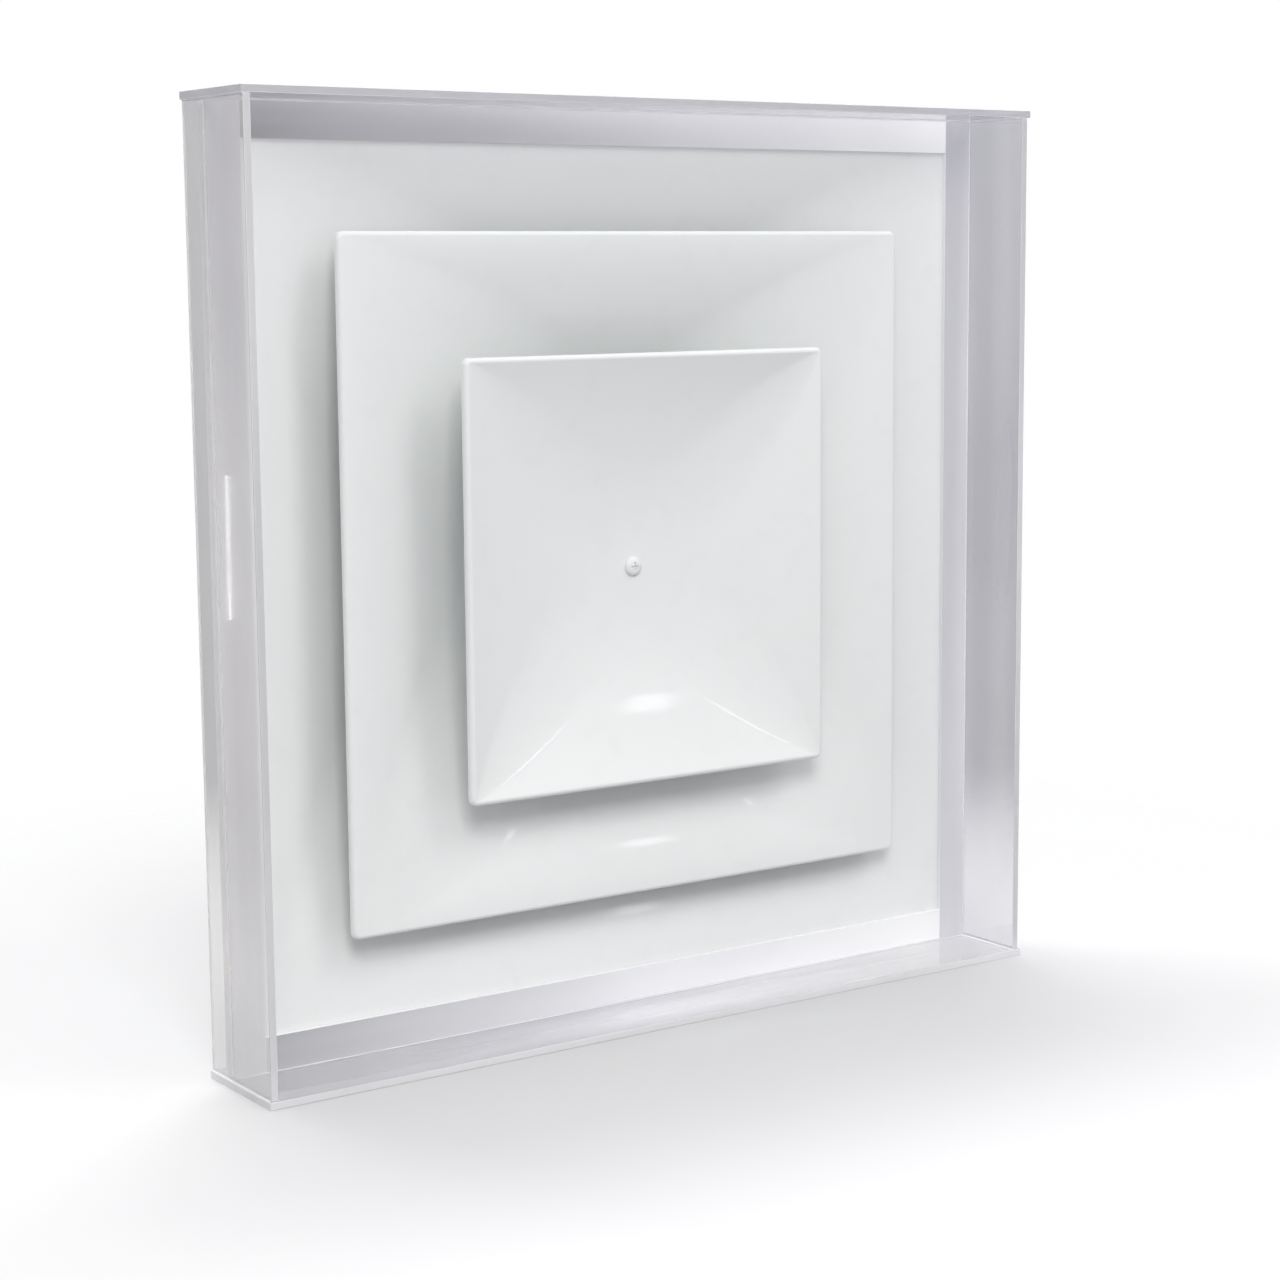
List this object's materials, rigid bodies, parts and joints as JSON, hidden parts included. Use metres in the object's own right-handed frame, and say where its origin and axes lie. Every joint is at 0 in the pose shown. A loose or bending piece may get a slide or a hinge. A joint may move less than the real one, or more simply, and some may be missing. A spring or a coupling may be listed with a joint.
{
  "type": "ceiling air diffuser",
  "caption": "Square step-down cone ceiling diffuser in white sheet steel, lying in a clear acrylic air guard, with a round duct neck and a screw-adjusted core.",
  "frame": {"origin": "on the neck's axis, in the ceiling plane, where the guard walls' back edges meet the ceiling", "axes": "+Y points up the duct, away from the room; the face looks along -Y; +Z is the edge that is uppermost with the diffuser stood on its lower edge, as it is shown; +X is across the face. In a ceiling, turn it 90 degrees about X so that -Y points down."},
  "size_m": [0.606, 0.1647, 0.603],
  "materials": {
    "acrylic": "clear cast acrylic sheet, polished faces and sawn edges",
    "white_enamel": "baked white enamel, satin to semi-gloss",
    "galvanised_steel": "galvanised sheet with a faint spangle",
    "zinc_fasteners": "bright zinc plate",
    "turned_steel": "turned, zinc plated",
    "white_screw": "head enamelled to match the face, shank zinc plated"
  },
  "bodies": {
    "guard": {"guard_top_wall": "acrylic", "guard_bottom_wall": "acrylic", "guard_left_wall": "acrylic", "guard_right_wall": "acrylic", "ledge_top": "acrylic", "ledge_bottom": "acrylic", "ledge_left": "acrylic", "ledge_right": "acrylic"},
    "diffuser": {"outer_cone": "white_enamel", "neck_collar": "galvanised_steel", "collar_rivets": "zinc_fasteners", "bridge_bar": "galvanised_steel", "bridge_rivets": "zinc_fasteners", "bridge_nut": "zinc_fasteners", "guide_rods": "zinc_fasteners", "hanger_tabs": "galvanised_steel", "hanger_tab_rivets": "zinc_fasteners"},
    "core": {"middle_cone": "white_enamel", "inner_cone": "white_enamel", "hub_standoff": "turned_steel", "core_bar": "galvanised_steel", "core_bar_rivets": "zinc_fasteners"},
    "screw": {"adjusting_screw": "white_screw", "screw_stop_collar": "turned_steel", "stop_set_screw": "zinc_fasteners"}
  },
  "joints": [
    {"name": "diffuser_lift_out", "type": "slide", "parent": "guard", "child": "diffuser", "axis": [0, 1, 0], "range_m": [0, 0.12]},
    {"name": "core_slide", "type": "slide", "parent": "diffuser", "child": "core", "axis": [0, -1, 0], "range_m": [-0.008, 0.016]},
    {"name": "screw_turn", "type": "hinge", "parent": "core", "child": "screw", "pos_m": [0, 0, 0], "axis": [0, -1, 0], "range_deg": [-2310, 4620]}
  ],
  "couplings": [
    {"joint": "screw_turn", "follows": "core_slide", "rad_per_m": 5026.5}
  ]
}
